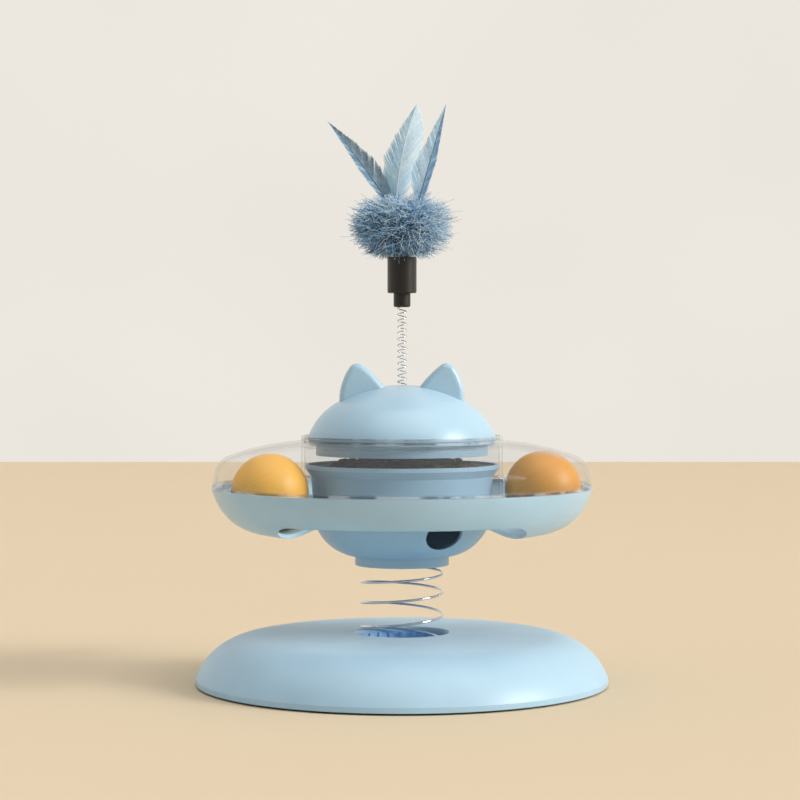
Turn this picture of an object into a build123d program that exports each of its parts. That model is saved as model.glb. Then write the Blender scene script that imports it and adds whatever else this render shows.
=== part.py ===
from build123d import *
import math
import os

# Cat teaser toy: a weighted base, a big spring, a treat bowl with a ball track round it,
# a clear cover, a domed lid with cat ears, and a feather teaser on a thin spring.
# Millimetres, +Z up, the origin under the middle of the base. The front looks along -Y.

# Clearances and overruns shared by all pieces
fit_gap = 0.3
slip_gap = 0.1
overrun = 1.0

# Base
base_radius = 103.0
base_height = 26.0
base_wall = 2.4
base_edge_height = 2.6
shoulder_inset = 28.0
shoulder_drop = 1.8
foot_lift = 1.0
well_gap = 2.6
well_edge_round = 0.8
seat_pad_margin = 15.0
seat_pad_drop = 2.9
plate_thickness = 2.4
plate_post_inset = 19.0
plate_post_radius = 4.0
weight_inset = 31.0
weight_band = 28.0
weight_height = 5.0
weight_rib_wall = 1.6
weight_rib_height = 3.0
corner_count = 4
corner_angle = 45.0
post_count = 3
post_angle = 90.0
weight_post_angle = 30.0
pad_inset = 15.0
pad_radius = 7.0
pad_thickness = 1.8

# Ribbed socket in the well
socket_wall = 2.2
socket_floor_height = 11.0
socket_flange_margin = 14.0
socket_screw_margin = 9.0
socket_boss_radius = 3.6
rib_count = 24
rib_depth = 0.8
rib_width = 1.6

# Screws: one small size and one fine size
screw_radius = 1.5
screw_head_radius = 2.8
screw_head_height = 1.3
screw_bite = 6.0
fine_screw_radius = 1.0
fine_head_radius = 1.9
fine_head_height = 1.0
fine_screw_bite = 3.0
recess_depth_share = 0.6
recess_width_share = 0.34

# Big spring
spring_radius = 20.4
spring_wire = 1.2
spring_closed_pitch = 1.9
spring_turns = 4
spring_start_angle = -45.0
tail_bend_share = 1.5
wire_sides = 6

# Collar under the bowl
collar_gap = 3.1
collar_wall = 1.1
collar_bottom = 59.5
collar_depth = 5.9
collar_roof = 1.6
collar_edge_round = 0.5
collar_screw_circle_radius = 13.0
clip_sheet = 0.4
clip_width = 2.4
clip_gap = 0.45

# Treat bowl
bowl_wall = 1.8
bowl_foot_drop = 2.6
bowl_foot_margin = 2.5
bowl_waist_share = 0.667
bowl_waist_height = 6.3
bowl_belly_inset = 5.1
bowl_belly_height = 15.6
bowl_shoulder_inset = 2.9
bowl_shoulder_drop = 5.7
bowl_rim_radius = 48.5
bowl_rim_gap = 8.6
bowl_lip = 2.0
ledge_overhang = 0.5
ledge_rise = 22.2
ledge_thickness = 1.6
treat_hole_width = 20.0
treat_hole_height = 14.4
treat_hole_rise = 12.6
treat_hole_angle = -60.0
bowl_boss_height = 4.0

# Balls and the track that holds them
ball_radius = 19.0
ball_rise = 8.9
ball_play = 0.4
track_gap = 0.6
left_ball_angle = 203.8
right_ball_angle = 0.0

# Tray
tray_side = 5.1
tray_rim_rise = 0.7
tray_wall = 2.0
tray_bend_inset = 4.4
tray_bend_drop = 10.2
tray_bulge = 0.5
tray_flange = 2.0
trough_turn = 55.0
front_slot_angle = 270.0
back_slot_angle = 90.0
slot_half_angle = 38.0
slot_inset = 3.2
tray_screw_inset = 1.7

# Clear cover: points of its outline as shares of the way out from the neck to the tray's rim
# and of the way up from that rim to the neck
cover_wall = 1.2
neck_wall = 1.6
neck_gap = 0.4
cover_headroom = 3.7
neck_lip = 4.0
cover_top_margin = 2.5
cover_top_rise = 1.2
cover_mid_shares = (0.488, 0.866)
cover_shoulder_shares = (0.814, 0.685)
cover_corner_shares = (0.967, 0.358)
cover_lip_inset = 3.6
cover_lip_depth = 2.0
ledge_inset = 4.0

# Lid: points of the dome as shares of its radius and of the drop from its top
dome_gap = 1.9
dome_rise = 27.0
dome_wall = 2.0
dome_mid_shares = (0.383, 0.089)
dome_crown_shares = (0.713, 0.341)
dome_edge = 1.1
skirt_gap = 1.9
skirt_wall = 1.8
skirt_drop = 7.8
skirt_flange_inset = 0.4
skirt_flange = 1.9

# Cat ears on the lid: a foot inside the dome, and points of the outline as shares of the width
# and the height: where the outer side leaves the upright, where the tip starts and ends, and
# where the inner side meets the dome
ear_inner_x = 8.8
ear_width = 22.4
ear_foot_rise = 11.6
ear_height = 26.4
ear_outer_shares = (1.0, 0.3)
ear_tip_start_shares = (0.777, 0.917)
ear_tip_end_shares = (0.462, 0.958)
ear_inner_shares = (0.0, 0.55)
ear_front = 9.0
ear_back = 5.0
ear_front_round = 2.8
ear_back_round = 1.8
ear_wall = 2.2

# Thin spring and its anchor in the lid
wand_radius = 2.2
wand_wire = 0.6
wand_pitch = 3.05
wand_closed_pitch = 1.1
wand_turns = 14
wand_hole_radius = 3.2
anchor_radius = 11.0
anchor_plate = 2.0
anchor_drop = 4.4
anchor_bore_gap = 0.35
anchor_screw_circle_radius = 7.5
anchor_boss_radius = 2.4

# Teaser head
plug_radius = 4.25
plug_height = 7.0
plug_edge_round = 0.9
plug_spigot_radius = 2.9
plug_spigot_height = 3.0
cap_radius = 7.3
cap_height = 18.0
cap_wall = 1.4
cap_floor = 3.0
cap_edge_round = 0.7
pom_radius = 26.0
pom_top_radius = 12.5
pom_height = 33.0
pom_belly_share = 0.5
pom_core_radius = 5.6
pom_bore_radius = 4.4
feather_sheet = 0.6
feather_height = 75.0
feather_width = 10.0
quill_radius = 0.7
vane_swell_share = 0.4
quill_length_share = 0.85

# Radii that follow from the sizes above, from the axis outwards
well_radius = spring_radius + well_gap
seat_pad_radius = well_radius + seat_pad_margin
socket_flange_radius = well_radius + socket_flange_margin
socket_screw_circle_radius = well_radius + socket_screw_margin
shoulder_radius = base_radius - shoulder_inset
plate_post_circle_radius = base_radius - plate_post_inset
pad_circle_radius = base_radius - pad_inset
weight_outer_radius = base_radius - weight_inset
weight_inner_radius = weight_outer_radius - weight_band
weight_post_circle_radius = weight_outer_radius - weight_band / 2
collar_radius = spring_radius + collar_gap
bowl_foot_radius = collar_radius + bowl_foot_margin
bowl_belly_radius = bowl_rim_radius - bowl_belly_inset
bowl_waist_radius = bowl_foot_radius + (bowl_belly_radius - bowl_foot_radius) * bowl_waist_share
bowl_shoulder_radius = bowl_rim_radius - bowl_shoulder_inset
ledge_radius = bowl_rim_radius + ledge_overhang
tray_screw_circle_radius = ledge_radius - tray_screw_inset
neck_inner_radius = bowl_rim_radius + neck_gap
neck_outer_radius = neck_inner_radius + neck_wall
channel_radius = ball_radius + ball_play
track_radius = neck_outer_radius + track_gap + channel_radius
tray_radius = track_radius + channel_radius + tray_side
tray_bend_radius = tray_radius - tray_bend_inset
slot_half_width = ball_radius - slot_inset
cover_top_radius = neck_outer_radius + cover_top_margin
dome_radius = neck_inner_radius - dome_gap
skirt_radius = neck_inner_radius - ledge_inset - skirt_gap
skirt_flange_radius = dome_radius - skirt_flange_inset

# Heights that follow from the sizes above, from the ground up
seat_pad_height = base_height - seat_pad_drop
plate_top = foot_lift + plate_thickness
collar_ceiling = collar_bottom + collar_depth
collar_top = collar_ceiling + collar_roof
bowl_bottom = collar_top - bowl_foot_drop
spring_room = collar_ceiling - socket_floor_height
spring_ends = 2 * (spring_closed_pitch + spring_wire * (1 + tail_bend_share))
spring_pitch = (spring_room - spring_ends) / spring_turns
ledge_top = bowl_bottom + ledge_rise
tray_flange_top = ledge_top + tray_flange
ball_height = tray_flange_top + ball_rise
tray_rim_height = ball_height + tray_rim_rise
cover_ledge_top = ball_height + ball_radius + cover_headroom
bowl_rim_height = cover_ledge_top - neck_wall - bowl_rim_gap - bowl_bottom
bowl_shoulder_height = bowl_rim_height - bowl_shoulder_drop
cover_lip_height = cover_ledge_top + neck_lip
cover_top_height = cover_ledge_top + cover_top_rise
skirt_flange_bottom = cover_ledge_top + fit_gap
dome_base_height = skirt_flange_bottom + skirt_flange
dome_top_height = dome_base_height + dome_rise
ear_foot_height = dome_base_height + ear_foot_rise
anchor_top = dome_top_height - anchor_drop

os.makedirs("parts", exist_ok=True)


def save(piece, name):
    piece.part.label = name
    export_step(piece.part, "parts/" + name + ".step")


def ring(inner, outer, bottom, top, mode=Mode.ADD):
    # A round band between two radii and two heights, added to the part that is being built.
    with BuildSketch(Plane.XY.offset(bottom)) as band:
        Circle(outer)
        if inner > 0:
            Circle(inner, mode=Mode.SUBTRACT)
    extrude(band.sketch, amount=top - bottom, mode=mode)


def tapping_screws(places, head_bottom, shank, head, head_height, length):
    # Round-headed screws that enter from below, with a cross-shaped driver recess.
    with BuildSketch(Plane.XY.offset(head_bottom)) as heads:
        with Locations(*places):
            Circle(head)
    extrude(heads.sketch, amount=head_height)
    with BuildSketch(Plane.XY.offset(head_bottom + head_height)) as shanks:
        with Locations(*places):
            Circle(shank)
    extrude(shanks.sketch, amount=length)
    with BuildSketch(Plane.XY.offset(head_bottom)) as recesses:
        with Locations(*places):
            Rectangle(head, head * recess_width_share)
            Rectangle(head * recess_width_share, head)
    extrude(recesses.sketch, amount=head_height * recess_depth_share, mode=Mode.SUBTRACT)


def around(radius, count, first=0.0):
    # Points spread evenly on a circle, the first one at an angle in degrees.
    turns = [math.radians(first + 360 * i / count) for i in range(count)]
    return [(radius * math.cos(a), radius * math.sin(a)) for a in turns]


def biarc(start, start_way, end, end_way):
    # Two tangent arcs that leave start and reach end in the given directions.
    chord = end - start
    ways = start_way + end_way
    spread = 2 * (1 - start_way.dot(end_way))
    along = chord.dot(ways)
    reach = (math.sqrt(along**2 + spread * chord.dot(chord)) - along) / spread
    joint = ((start + start_way * reach) + (end - end_way * reach)) / 2
    first = TangentArc(start, joint, tangent=start_way)
    TangentArc(joint, end, tangent=first % 1)


def coil_stops(radius, floor, wire, pitch, closed_pitch, turns, start_angle, hand):
    # Points and directions every half turn of a coil with one closed turn at each end.
    half_rises = [closed_pitch / 2] * 2 + [pitch / 2] * (2 * turns) + [closed_pitch / 2] * 2
    height = floor + wire + wire * tail_bend_share
    heights = [height]
    for rise in half_rises:
        heights.append(heights[-1] + rise)
    stops = []
    for i, level in enumerate(heights):
        angle = math.radians(start_angle + hand * 180 * i)
        near = half_rises[max(i - 1, 0): i + 1]
        slope = 0 if i in (0, len(half_rises)) else sum(near) / len(near) / (math.pi * radius)
        way = Vector(-hand * math.sin(angle), hand * math.cos(angle), slope).normalized()
        stops.append((Vector(radius * math.cos(angle), radius * math.sin(angle), level), way))
    return stops


def coil_path(stops, wire):
    # The wire's line: a straight foot, a bend, the coil, a bend and a straight end.
    up = Vector(0, 0, 1)
    bend = wire * tail_bend_share
    first, first_way = stops[0]
    last, last_way = stops[-1]
    foot = first - first_way * bend - up * bend
    head = last + last_way * bend + up * bend
    Line(foot - up * wire, foot)
    TangentArc(foot, first, tangent=up)
    for (start, start_way), (end, end_way) in zip(stops, stops[1:]):
        biarc(start, start_way, end, end_way)
    TangentArc(last, head, tangent=last_way)
    Line(head, head + up * wire)


def least_gap(path, wire, samples):
    # Smallest distance between two stretches of a wire that aren't next to each other.
    length = path.length
    points = [path @ (i / samples) for i in range(samples + 1)]
    skip = math.ceil(3 * wire * samples / length)
    pairs = ((p, q) for i, p in enumerate(points) for q in points[i + skip:])
    return min((p - q).length for p, q in pairs) - wire


# Base shell: a crowned disc whose cavity leaves posts for screws and for the weight
def base_outline(inset):
    edge = base_radius - inset
    crown = ThreePointArc(
        (0, base_height - inset),
        (shoulder_radius / 2, base_height - shoulder_drop / 4 - inset),
        (shoulder_radius, base_height - shoulder_drop - inset),
    )
    side = TangentArc(crown @ 1, (edge, foot_lift + base_edge_height), tangent=crown % 1)
    Polyline(side @ 1, (edge, foot_lift), (0, foot_lift), (0, base_height - inset))


plate_post_places = around(plate_post_circle_radius, corner_count, corner_angle)
weight_post_places = around(weight_post_circle_radius, post_count, weight_post_angle)
socket_post_places = around(socket_screw_circle_radius, post_count, post_angle)
with BuildPart() as base_cavity:
    with BuildSketch(Plane.XZ):
        with BuildLine():
            base_outline(base_wall)
        make_face()
    revolve(axis=Axis.Z)
    ring(0, seat_pad_radius, seat_pad_height, base_height, Mode.SUBTRACT)
    with BuildSketch(Plane.XY.offset(plate_top)):
        with Locations(*plate_post_places):
            Circle(plate_post_radius)
    extrude(amount=base_height, mode=Mode.SUBTRACT)
    with BuildSketch(Plane.XY.offset(plate_top + weight_height)):
        with Locations(*weight_post_places):
            Circle(plate_post_radius)
    extrude(amount=base_height, mode=Mode.SUBTRACT)
    with BuildSketch(Plane.XY.offset(socket_floor_height + socket_wall)):
        with Locations(*socket_post_places):
            Circle(socket_boss_radius)
    extrude(amount=base_height, mode=Mode.SUBTRACT)

with BuildPart() as base_shell:
    with BuildSketch(Plane.XZ):
        with BuildLine():
            base_outline(0)
        make_face()
    revolve(axis=Axis.Z)
    add(base_cavity.part, mode=Mode.SUBTRACT)
    ring(0, well_radius, seat_pad_height - overrun, base_height + overrun, Mode.SUBTRACT)
    with BuildSketch(Plane.XZ):
        with BuildLine():
            RadiusArc(
                (well_radius, base_height - 2 * well_edge_round),
                (well_radius + 2 * well_edge_round, base_height), 2 * well_edge_round,
            )
            Polyline(
                (well_radius + 2 * well_edge_round, base_height),
                (well_radius, base_height), (well_radius, base_height - 2 * well_edge_round),
            )
        make_face()
    revolve(axis=Axis.Z, mode=Mode.SUBTRACT)
    with BuildSketch(Plane.XY.offset(plate_top)):
        with Locations(*plate_post_places):
            Circle(screw_radius + slip_gap)
    extrude(amount=screw_bite + overrun, mode=Mode.SUBTRACT)
    with BuildSketch(Plane.XY.offset(socket_floor_height + socket_wall)):
        with Locations(*socket_post_places):
            Circle(screw_radius + slip_gap)
    extrude(amount=screw_bite + overrun, mode=Mode.SUBTRACT)
save(base_shell, "base_shell")

# Socket cup: ribs round its bore, a floor for the spring's foot and a flange for screws
socket_bottom = socket_floor_height - socket_wall
with BuildPart() as spring_socket:
    ring(0, well_radius + socket_wall, socket_bottom, seat_pad_height)
    ring(0, socket_flange_radius, socket_floor_height, socket_floor_height + socket_wall)
    ring(0, well_radius, socket_floor_height, base_height, Mode.SUBTRACT)
    with BuildSketch(Plane.XY.offset(socket_floor_height)):
        with PolarLocations(well_radius, rib_count):
            Rectangle(2 * rib_depth, rib_width)
        Circle(well_radius + socket_wall / 2, mode=Mode.INTERSECT)
    extrude(amount=seat_pad_height - socket_floor_height)
    with BuildSketch(Plane.XY.offset(socket_bottom)):
        with Locations(*socket_post_places):
            Circle(screw_radius + slip_gap)
    extrude(amount=base_height, mode=Mode.SUBTRACT)
save(spring_socket, "spring_socket")

with BuildPart() as socket_screws:
    tapping_screws(
        socket_post_places, socket_floor_height - screw_head_height,
        screw_radius, screw_head_radius, screw_head_height, socket_wall + screw_bite,
    )
save(socket_screws, "socket_screws")

# Bottom plate with screw recesses, pad pockets and a rib that centres the weight
pocket_depth = pad_thickness - foot_lift
with BuildPart() as base_plate:
    ring(0, base_radius - base_wall - fit_gap, foot_lift, plate_top)
    ring(
        weight_inner_radius - fit_gap - weight_rib_wall, weight_inner_radius - fit_gap,
        plate_top, plate_top + weight_rib_height,
    )
    with BuildSketch(Plane.XY.offset(foot_lift)):
        with PolarLocations(pad_circle_radius, corner_count):
            Circle(pad_radius + slip_gap)
    extrude(amount=pocket_depth, mode=Mode.SUBTRACT)
    with Locations(*[(x, y, foot_lift) for x, y in plate_post_places]):
        with Locations(Rotation(180, 0, 0)):
            CounterBoreHole(
                screw_radius + slip_gap, screw_head_radius + slip_gap,
                screw_head_height + slip_gap, plate_thickness,
            )
save(base_plate, "base_plate")

with BuildPart() as base_screws:
    tapping_screws(
        plate_post_places, foot_lift + slip_gap,
        screw_radius, screw_head_radius, screw_head_height, screw_bite,
    )
save(base_screws, "base_screws")

with BuildPart() as base_weight:
    ring(weight_inner_radius, weight_outer_radius, plate_top, plate_top + weight_height)
save(base_weight, "base_weight")

with BuildPart() as base_pads:
    with BuildSketch(Plane.XY):
        with PolarLocations(pad_circle_radius, corner_count):
            Circle(pad_radius)
    extrude(amount=pad_thickness)
save(base_pads, "base_pads")

# Big spring: left-handed, with a closed turn and a straight tail at each end
spring_stops = coil_stops(
    spring_radius, socket_floor_height, spring_wire, spring_pitch,
    spring_closed_pitch, spring_turns, spring_start_angle, -1,
)
with BuildPart() as main_spring:
    with BuildLine() as spring_line:
        coil_path(spring_stops, spring_wire)
    with BuildSketch(Plane(origin=spring_line.line @ 0, z_dir=spring_line.line % 0)):
        RegularPolygon(spring_wire / 2, wire_sides)
    sweep(clean=False)
print("big spring, least gap to itself:", round(least_gap(spring_line.wire(), spring_wire, 900), 2))
save(main_spring, "main_spring")

# Two folded clips round the last turn of the big spring, in front and behind
coil_end = collar_ceiling - spring_wire * (1 + tail_bend_share)
clip_bore = spring_wire + 2 * clip_gap
with BuildPart() as spring_clips:
    for side in (-1, 1):
        turned_share = (spring_start_angle - 90 * side) % 360 / 360
        clip_height = coil_end - spring_closed_pitch * (1 - turned_share)
        with BuildSketch(Plane((0, side * spring_radius, clip_height), x_dir=(0, 1, 0), z_dir=(1, 0, 0))):
            Rectangle(clip_bore + 2 * clip_sheet, clip_bore + 2 * clip_sheet)
            Rectangle(clip_bore, clip_bore, mode=Mode.SUBTRACT)
        extrude(amount=clip_width / 2, both=True)
save(spring_clips, "spring_clips")

# Collar: a short cup that hangs under the bowl and takes the top of the spring
collar_screw_places = around(collar_screw_circle_radius, post_count, post_angle)
with BuildPart() as spring_collar:
    ring(0, collar_radius, collar_bottom, collar_top)
    ring(0, collar_radius - collar_wall, collar_bottom - overrun, collar_ceiling, Mode.SUBTRACT)
    fillet(spring_collar.edges().group_by(Axis.Z)[0], collar_edge_round)
    with BuildSketch(Plane.XY.offset(collar_ceiling)):
        with Locations(*collar_screw_places):
            Circle(screw_radius + slip_gap)
    extrude(amount=collar_roof, mode=Mode.SUBTRACT)
save(spring_collar, "spring_collar")

with BuildPart() as collar_screws:
    tapping_screws(
        collar_screw_places, collar_ceiling - screw_head_height,
        screw_radius, screw_head_radius, screw_head_height, collar_roof + bowl_boss_height,
    )
save(collar_screws, "collar_screws")


# Treat bowl: one cup from the collar up to the lip, with the dispensing hole in its side
tray_screw_places = around(tray_screw_circle_radius, corner_count)
collar_recess_radius = collar_radius + fit_gap
with BuildPart() as treat_bowl:
    with BuildSketch(Plane.XZ):
        with BuildLine():
            waist = ThreePointArc(
                (bowl_foot_radius, bowl_bottom),
                (bowl_waist_radius, bowl_bottom + bowl_waist_height),
                (bowl_belly_radius, bowl_bottom + bowl_belly_height),
            )
            Polyline(
                waist @ 1, (bowl_shoulder_radius, bowl_bottom + bowl_shoulder_height),
                (bowl_rim_radius, bowl_bottom + bowl_rim_height - bowl_lip),
                (bowl_rim_radius, bowl_bottom + bowl_rim_height), (0, bowl_bottom + bowl_rim_height),
                (0, collar_top), (collar_recess_radius, collar_top),
                (collar_recess_radius, bowl_bottom), waist @ 0,
            )
        make_face()
    revolve(axis=Axis.Z)
    offset(amount=-bowl_wall, openings=treat_bowl.faces().sort_by(Axis.Z)[-1])
    ring(
        bowl_belly_radius - bowl_wall / 2, ledge_radius,
        ledge_top - ledge_thickness, ledge_top,
    )
    with BuildSketch(Plane.XY.offset(collar_top)):
        with Locations(*collar_screw_places):
            Circle(socket_boss_radius)
    extrude(amount=bowl_wall + bowl_boss_height)
    with BuildSketch(Plane.XY.offset(collar_top)):
        with Locations(*collar_screw_places):
            Circle(screw_radius + slip_gap)
    extrude(amount=bowl_boss_height + slip_gap, mode=Mode.SUBTRACT)
    with BuildSketch(Plane.XY.offset(ledge_top - ledge_thickness)):
        with Locations(*tray_screw_places):
            Circle(fine_screw_radius + slip_gap)
    extrude(amount=ledge_thickness, mode=Mode.SUBTRACT)
    hole_turn = math.radians(treat_hole_angle)
    hole_way = Vector(math.cos(hole_turn), math.sin(hole_turn), 0)
    hole_start = hole_way * bowl_foot_radius + Vector(0, 0, bowl_bottom + treat_hole_rise)
    with BuildSketch(Plane(hole_start, x_dir=(-hole_way.Y, hole_way.X, 0), z_dir=hole_way)):
        Ellipse(treat_hole_width / 2, treat_hole_height / 2)
    extrude(amount=tray_radius, mode=Mode.SUBTRACT)
save(treat_bowl, "treat_bowl")


# Ball tray: a trough round the bowl; two long slots in its floor let a paw reach the balls
def trough_edge(radius, height):
    # How far from the track the round side of the trough is at a height.
    return track_radius - math.sqrt(radius**2 - (ball_height - height) ** 2)


def trough_wall(radius, height):
    # The inner side of the trough: an arc round the ball, from the floor up to a height.
    middle = ball_height - radius * math.cos(math.pi / 6)
    half = (track_radius - radius * math.sin(math.pi / 6), middle)
    return ThreePointArc((track_radius, ball_height - radius), half, (trough_edge(radius, height), height))


flange_share = (ledge_rise + tray_flange - bowl_belly_height) / (bowl_shoulder_height - bowl_belly_height)
bowl_side_radius = bowl_belly_radius + (bowl_shoulder_radius - bowl_belly_radius) * flange_share
flange_inner_radius = bowl_side_radius + 2 * fit_gap
with BuildPart() as ball_tray:
    with BuildSketch(Plane.XZ):
        with BuildLine():
            wall = ThreePointArc(
                (tray_radius, tray_rim_height),
                ((tray_radius + tray_bend_radius) / 2 + tray_bulge, tray_rim_height - tray_bend_drop / 2),
                (tray_bend_radius, tray_rim_height - tray_bend_drop),
            )
            TangentArc(
                wall @ 1, (track_radius, ball_height - channel_radius - tray_wall), tangent=wall % 1
            )
            under = trough_wall(channel_radius + tray_wall, ledge_top)
            Polyline(
                under @ 1, (flange_inner_radius, ledge_top), (flange_inner_radius, tray_flange_top),
                (trough_edge(channel_radius, tray_flange_top), tray_flange_top),
            )
            trough_wall(channel_radius, tray_flange_top)
            track = CenterArc((track_radius, ball_height), channel_radius, 270, trough_turn)
            rim = TangentArc(track @ 1, (tray_radius - tray_wall, tray_rim_height), tangent=track % 1)
            Line(rim @ 1, wall @ 0)
        make_face()
    revolve(axis=Axis.Z)
    with BuildSketch(Plane.XY.offset(ball_height - channel_radius - tray_wall - overrun)):
        for middle in (front_slot_angle, back_slot_angle):
            SlotArc(
                CenterArc((0, 0), track_radius, middle - slot_half_angle, 2 * slot_half_angle),
                2 * slot_half_width,
            )
    extrude(amount=tray_flange_top - ball_height + channel_radius + tray_wall, mode=Mode.SUBTRACT)
    with BuildSketch(Plane.XY.offset(ledge_top)):
        with Locations(*tray_screw_places):
            Circle(fine_screw_radius + slip_gap)
    extrude(amount=tray_flange, mode=Mode.SUBTRACT)
save(ball_tray, "ball_tray")

with BuildPart() as tray_screws:
    tapping_screws(
        tray_screw_places, ledge_top - ledge_thickness - fine_head_height,
        fine_screw_radius, fine_head_radius, fine_head_height, ledge_thickness + tray_flange,
    )
save(tray_screws, "tray_screws")

for name, turn in (("ball_left", left_ball_angle), ("ball_right", right_ball_angle)):
    place = (
        track_radius * math.cos(math.radians(turn)),
        track_radius * math.sin(math.radians(turn)),
        ball_height,
    )
    with BuildPart() as ball:
        with Locations(place):
            Sphere(ball_radius)
    save(ball, name)


# Clear cover: a dished ring on the tray's rim, an upright neck and a ledge for the lid
def cover_point(shares):
    return (
        cover_top_radius + (tray_radius - cover_top_radius) * shares[0],
        tray_rim_height + (cover_top_height - tray_rim_height) * shares[1],
    )


cover_foot = tray_rim_height + fit_gap
cover_start_radius = neck_outer_radius - neck_wall / 2
with BuildPart() as clear_cover:
    with BuildSketch(Plane.XZ):
        with BuildLine():
            top = ThreePointArc(
                cover_point((0, 1)), cover_point(cover_mid_shares), cover_point(cover_shoulder_shares)
            )
            corner = TangentArc(top @ 1, cover_point(cover_corner_shares), tangent=top % 1)
            Polyline(
                corner @ 1, (tray_radius, cover_foot), (cover_start_radius, cover_foot),
                (cover_start_radius, cover_top_height), top @ 0,
            )
        make_face()
    revolve(axis=Axis.Z)
    offset(
        amount=-cover_wall,
        openings=clear_cover.faces().sort_by(Axis.Z)[:1] + clear_cover.faces().filter_by(GeomType.CYLINDER),
    )
    ring(neck_inner_radius, neck_outer_radius, tray_flange_top + fit_gap, cover_lip_height)
    ring(
        neck_inner_radius - ledge_inset, cover_start_radius,
        cover_ledge_top - neck_wall, cover_ledge_top,
    )
    lip_radius = tray_radius - cover_lip_inset
    ring(lip_radius - cover_wall, lip_radius, cover_foot - cover_lip_depth, cover_foot + cover_wall)
    ring(lip_radius - cover_wall, tray_radius - cover_wall / 2, cover_foot, cover_foot + cover_wall)
save(clear_cover, "clear_cover")


# Dome lid with two cat ears; the ears are hollow from below, like the dome
def dome_outline(inset):
    top = dome_top_height - inset
    crown = ThreePointArc(
        (0, top),
        (dome_radius * dome_mid_shares[0], top - dome_rise * dome_mid_shares[1]),
        (dome_radius * dome_crown_shares[0] - inset / 2, top - dome_rise * dome_crown_shares[1] + inset / 8),
    )
    edge = dome_radius - inset
    side = TangentArc(crown @ 1, (edge, dome_base_height + dome_edge), tangent=crown % 1)
    Polyline(side @ 1, (edge, dome_base_height), (0, dome_base_height), (0, top))


def ear_point(shares):
    return (ear_inner_x + ear_width * shares[0], ear_foot_height + ear_height * shares[1])


def ear_outline():
    # The front view of the right ear: up the outer side, round the tip and down into the dome.
    outer_foot = ear_point(ear_outer_shares)
    outer = TangentArc(outer_foot, ear_point(ear_tip_start_shares), tangent=(0, 1))
    tip = TangentArc(outer @ 1, ear_point(ear_tip_end_shares), tangent=outer % 1)
    inner = TangentArc(tip @ 1, ear_point(ear_inner_shares), tangent=tip % 1)
    Polyline(inner @ 1, ear_point((0, 0)), ear_point((1, 0)), outer_foot)


with BuildPart() as ear:
    with BuildSketch(Plane.XZ.offset(-ear_back)):
        with BuildLine():
            ear_outline()
        make_face()
    extrude(amount=ear_back + ear_front)
    fillet(ear.faces().sort_by(Axis.Y)[0].edges(), ear_front_round)
    fillet(ear.faces().sort_by(Axis.Y)[-1].edges(), ear_back_round)

with BuildPart() as ear_hollow:
    with BuildSketch(Plane.XZ.offset(ear_wall + ear_front_round - ear_back)):
        with BuildLine():
            ear_outline()
        make_face()
        offset(amount=-ear_wall - ear_front_round / 2, mode=Mode.REPLACE)
    extrude(amount=ear_back + ear_front - 2 * (ear_wall + ear_front_round))

anchor_screw_places = around(anchor_screw_circle_radius, 2)
with BuildPart() as lid_cavity:
    with BuildSketch(Plane.XZ):
        with BuildLine():
            dome_outline(dome_wall)
        make_face()
    revolve(axis=Axis.Z)
    with BuildSketch(Plane.XY.offset(anchor_top)):
        with Locations(*anchor_screw_places):
            Circle(anchor_boss_radius)
    extrude(amount=dome_top_height, mode=Mode.SUBTRACT)

with BuildPart() as dome_lid:
    add(ear.part)
    mirror(ear.part, about=Plane.YZ)
    with BuildSketch(Plane.XZ):
        with BuildLine():
            dome_outline(0)
        make_face()
    revolve(axis=Axis.Z)
    add(lid_cavity.part, mode=Mode.SUBTRACT)
    add(ear_hollow.part, mode=Mode.SUBTRACT)
    mirror(ear_hollow.part, about=Plane.YZ, mode=Mode.SUBTRACT)
    ring(0, wand_hole_radius + slip_gap, dome_base_height, dome_top_height + overrun, Mode.SUBTRACT)
    with BuildSketch(Plane.XY.offset(anchor_top)):
        with Locations(*anchor_screw_places):
            Circle(fine_screw_radius + slip_gap)
    extrude(amount=fine_screw_bite, mode=Mode.SUBTRACT)
save(dome_lid, "dome_lid")

with BuildPart() as lid_skirt:
    ring(skirt_radius - skirt_wall, skirt_radius, dome_base_height - skirt_drop, dome_base_height)
    ring(skirt_radius - skirt_wall, skirt_flange_radius, skirt_flange_bottom, dome_base_height)
save(lid_skirt, "lid_skirt")

# Anchor under the top of the dome: a plate with a hollow stub that takes the thin spring
with BuildPart() as wand_anchor:
    ring(0, anchor_radius, anchor_top - anchor_plate, anchor_top)
    ring(0, wand_hole_radius, anchor_top, dome_top_height - slip_gap)
    bore = wand_radius + wand_wire / 2 + anchor_bore_gap
    ring(0, bore, anchor_top - anchor_plate / 2, dome_top_height, Mode.SUBTRACT)
    with BuildSketch(Plane.XY.offset(anchor_top - anchor_plate)):
        with Locations(*anchor_screw_places):
            Circle(fine_screw_radius + slip_gap)
    extrude(amount=anchor_plate, mode=Mode.SUBTRACT)
save(wand_anchor, "wand_anchor")

with BuildPart() as anchor_screws:
    tapping_screws(
        anchor_screw_places, anchor_top - anchor_plate - fine_head_height,
        fine_screw_radius, fine_head_radius, fine_head_height, anchor_plate + fine_screw_bite - slip_gap,
    )
save(anchor_screws, "anchor_screws")

# Thin spring, from the floor of the anchor's bore into the plug
wand_foot = anchor_top - anchor_plate / 2
wand_stops = coil_stops(
    wand_radius, wand_foot, wand_wire, wand_pitch, wand_closed_pitch, wand_turns, 0, 1
)
with BuildPart() as wand_spring:
    with BuildLine() as wand_line:
        coil_path(wand_stops, wand_wire)
    with BuildSketch(Plane(origin=wand_line.line @ 0, z_dir=wand_line.line % 0)):
        RegularPolygon(wand_wire / 2, wire_sides)
    sweep(clean=False)
print("thin spring, least gap to itself:", round(least_gap(wand_line.wire(), wand_wire, 1200), 2))
save(wand_spring, "wand_spring")

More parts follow.
